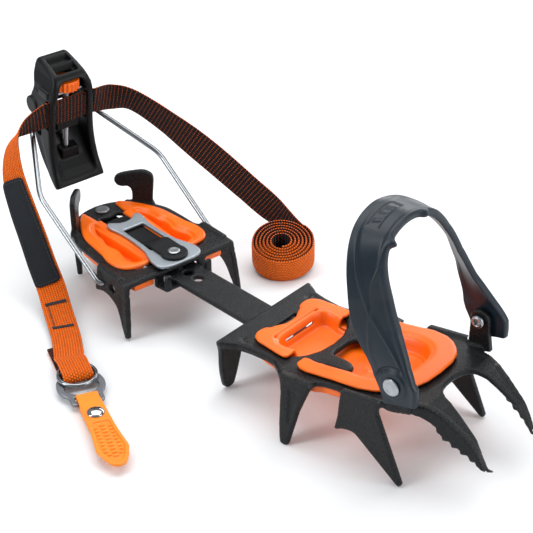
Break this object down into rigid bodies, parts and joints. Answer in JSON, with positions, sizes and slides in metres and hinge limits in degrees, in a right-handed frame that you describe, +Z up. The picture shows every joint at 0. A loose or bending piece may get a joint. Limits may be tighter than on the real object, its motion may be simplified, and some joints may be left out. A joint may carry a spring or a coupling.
{
  "type": "crampon",
  "caption": "Semi-automatic crampon with forward front points, orange anti-snow plates, plastic toe basket, adjustable linking bar, wire heel bail with screw lever and ankle strap.",
  "frame": {"origin": "middle of the front section's rear edge, on the face the boot sole rests on", "axes": "+X forward to the toe points, +Y to the wearer's left, +Z up; the ground is at z = -31.3 mm; the heel section is turned -9.4 degrees about Z as it lies at rest"},
  "size_m": [0.3341, 0.2158, 0.1309],
  "materials": {
    "steel_black": "fine-grained black powder coat on chromoly steel, lighter on worn bends",
    "antiball_orange": "semi-gloss moulded orange plastic",
    "rivet_steel": "turned and pressed steel, satin",
    "lock_plate_steel": "bead-blasted light grey steel",
    "spring_black": "black coated spring steel",
    "basket_plastic": "soft slate-blue moulded elastomer",
    "lever_plastic": "black glass-filled nylon, fine grain",
    "bail_steel": "polished stainless wire",
    "webbing_orange": "orange woven face",
    "webbing_black": "black woven inner face with orange picks",
    "label_black": "black woven patch, plain",
    "thread_black": "black sewing thread",
    "tab_yellow": "yellow-orange moulded rubbery plastic"
  },
  "bodies": {
    "front_section": {"front_platform": "steel_black", "front_antiball_plate": "antiball_orange", "linking_bar": "steel_black", "toe_rivets": "rivet_steel"},
    "heel_section": {"heel_platform": "steel_black", "heel_antiball_left": "antiball_orange", "heel_antiball_right": "antiball_orange", "rear_rivet": "rivet_steel"},
    "lock": {"lock_spring_leaf": "spring_black", "lock_lever_plate": "lock_plate_steel", "lock_rivet": "rivet_steel", "lock_peg": "rivet_steel"},
    "toe_basket": {"toe_basket": "basket_plastic"},
    "bail": {"heel_bail": "bail_steel"},
    "nut_block": {"bail_nut_block": "lever_plastic"},
    "lever": {"heel_lever": "lever_plastic", "thrust_plate": "bail_steel", "strap_lever_section": "webbing_black"},
    "adjuster": {"adjuster_screw": "rivet_steel", "thumbwheel": "antiball_orange", "hex_nut": "bail_steel"},
    "strap_left": {"strap_left_tail": "webbing_orange", "label_patch": "label_black", "bar_tack_stitching": "thread_black", "strap_loop": "webbing_orange"},
    "strap_right": {"strap_right_tail": "webbing_black", "strap_coil": "webbing_orange"},
    "buckle_plate": {"buckle_plate": "rivet_steel"},
    "buckle_ring": {"buckle_ring": "bail_steel"},
    "pull_tab": {"pull_tab": "tab_yellow", "tab_rivet": "bail_steel"}
  },
  "joints": [
    {"name": "length_adjust", "type": "slide", "parent": "front_section", "child": "heel_section", "axis": [0.9954, -0.0958, 0], "range_m": [-0.0328, 0.0164], "deforming": ["lock_peg"]},
    {"name": "lock_lift", "type": "hinge", "parent": "heel_section", "child": "lock", "pos_m": [-0.13351, 0.01708, -0.0044], "axis": [-0.1633, -0.9866, 0], "range_deg": [0, 8], "stiffness_Nm_per_rad": 0.6},
    {"name": "toe_basket_pivot", "type": "hinge", "parent": "front_section", "child": "toe_basket", "pos_m": [0.11, 0, 0.0257], "axis": [0, 1, 0], "range_deg": [-50, 75]},
    {"name": "bail_pivot", "type": "hinge", "parent": "heel_section", "child": "bail", "pos_m": [-0.08241, 0.00862, -0.0071], "axis": [0.1633, 0.9866, 0], "range_deg": [-6, 70]},
    {"name": "lever_pivot", "type": "hinge", "parent": "bail", "child": "nut_block", "pos_m": [-0.171, 0.02329, 0.0466], "axis": [0.1633, 0.9866, 0], "range_deg": [-18, 35]},
    {"name": "lever_adjust", "type": "slide", "parent": "nut_block", "child": "lever", "axis": [0.1322, -0.0219, 0.991], "range_m": [-0.005, 0.005]},
    {"name": "adjuster_spin", "type": "hinge", "parent": "lever", "child": "adjuster", "pos_m": [-0.16719, 0.02266, 0.04608], "axis": [0.1322, -0.0219, 0.991], "range_deg": [-1800, 1800]},
    {"name": "strap_left_hang", "type": "hinge", "parent": "bail", "child": "strap_left", "pos_m": [-0.171, 0.02329, 0.0466], "axis": [0.1633, 0.9866, 0], "range_deg": [-70, 6]},
    {"name": "strap_right_hang", "type": "hinge", "parent": "bail", "child": "strap_right", "pos_m": [-0.171, 0.02329, 0.0466], "axis": [0.1633, 0.9866, 0], "range_deg": [-70, 6]},
    {"name": "buckle_plate_swing", "type": "hinge", "parent": "strap_left", "child": "buckle_plate", "pos_m": [-0.05886, -0.07684, -0.0286], "axis": [-0.4695, -0.8829, 0], "range_deg": [-35, 0], "deforming": ["strap_loop"]},
    {"name": "buckle_ring_lift", "type": "hinge", "parent": "strap_left", "child": "buckle_ring", "pos_m": [-0.06689, -0.07257, -0.0263], "axis": [-0.4695, -0.8829, 0], "range_deg": [0, 55], "deforming": ["strap_loop"]},
    {"name": "pull_tab_lift", "type": "hinge", "parent": "buckle_plate", "child": "pull_tab", "pos_m": [-0.03944, -0.08717, -0.0286], "axis": [-0.4695, -0.8829, 0], "range_deg": [0, 75]}
  ],
  "couplings": [
    {"joint": "strap_left_hang", "follows": "bail_pivot", "ratio": -1},
    {"joint": "strap_right_hang", "follows": "bail_pivot", "ratio": -1},
    {"joint": "adjuster_spin", "follows": "lever_adjust", "rad_per_m": 6283.2}
  ]
}
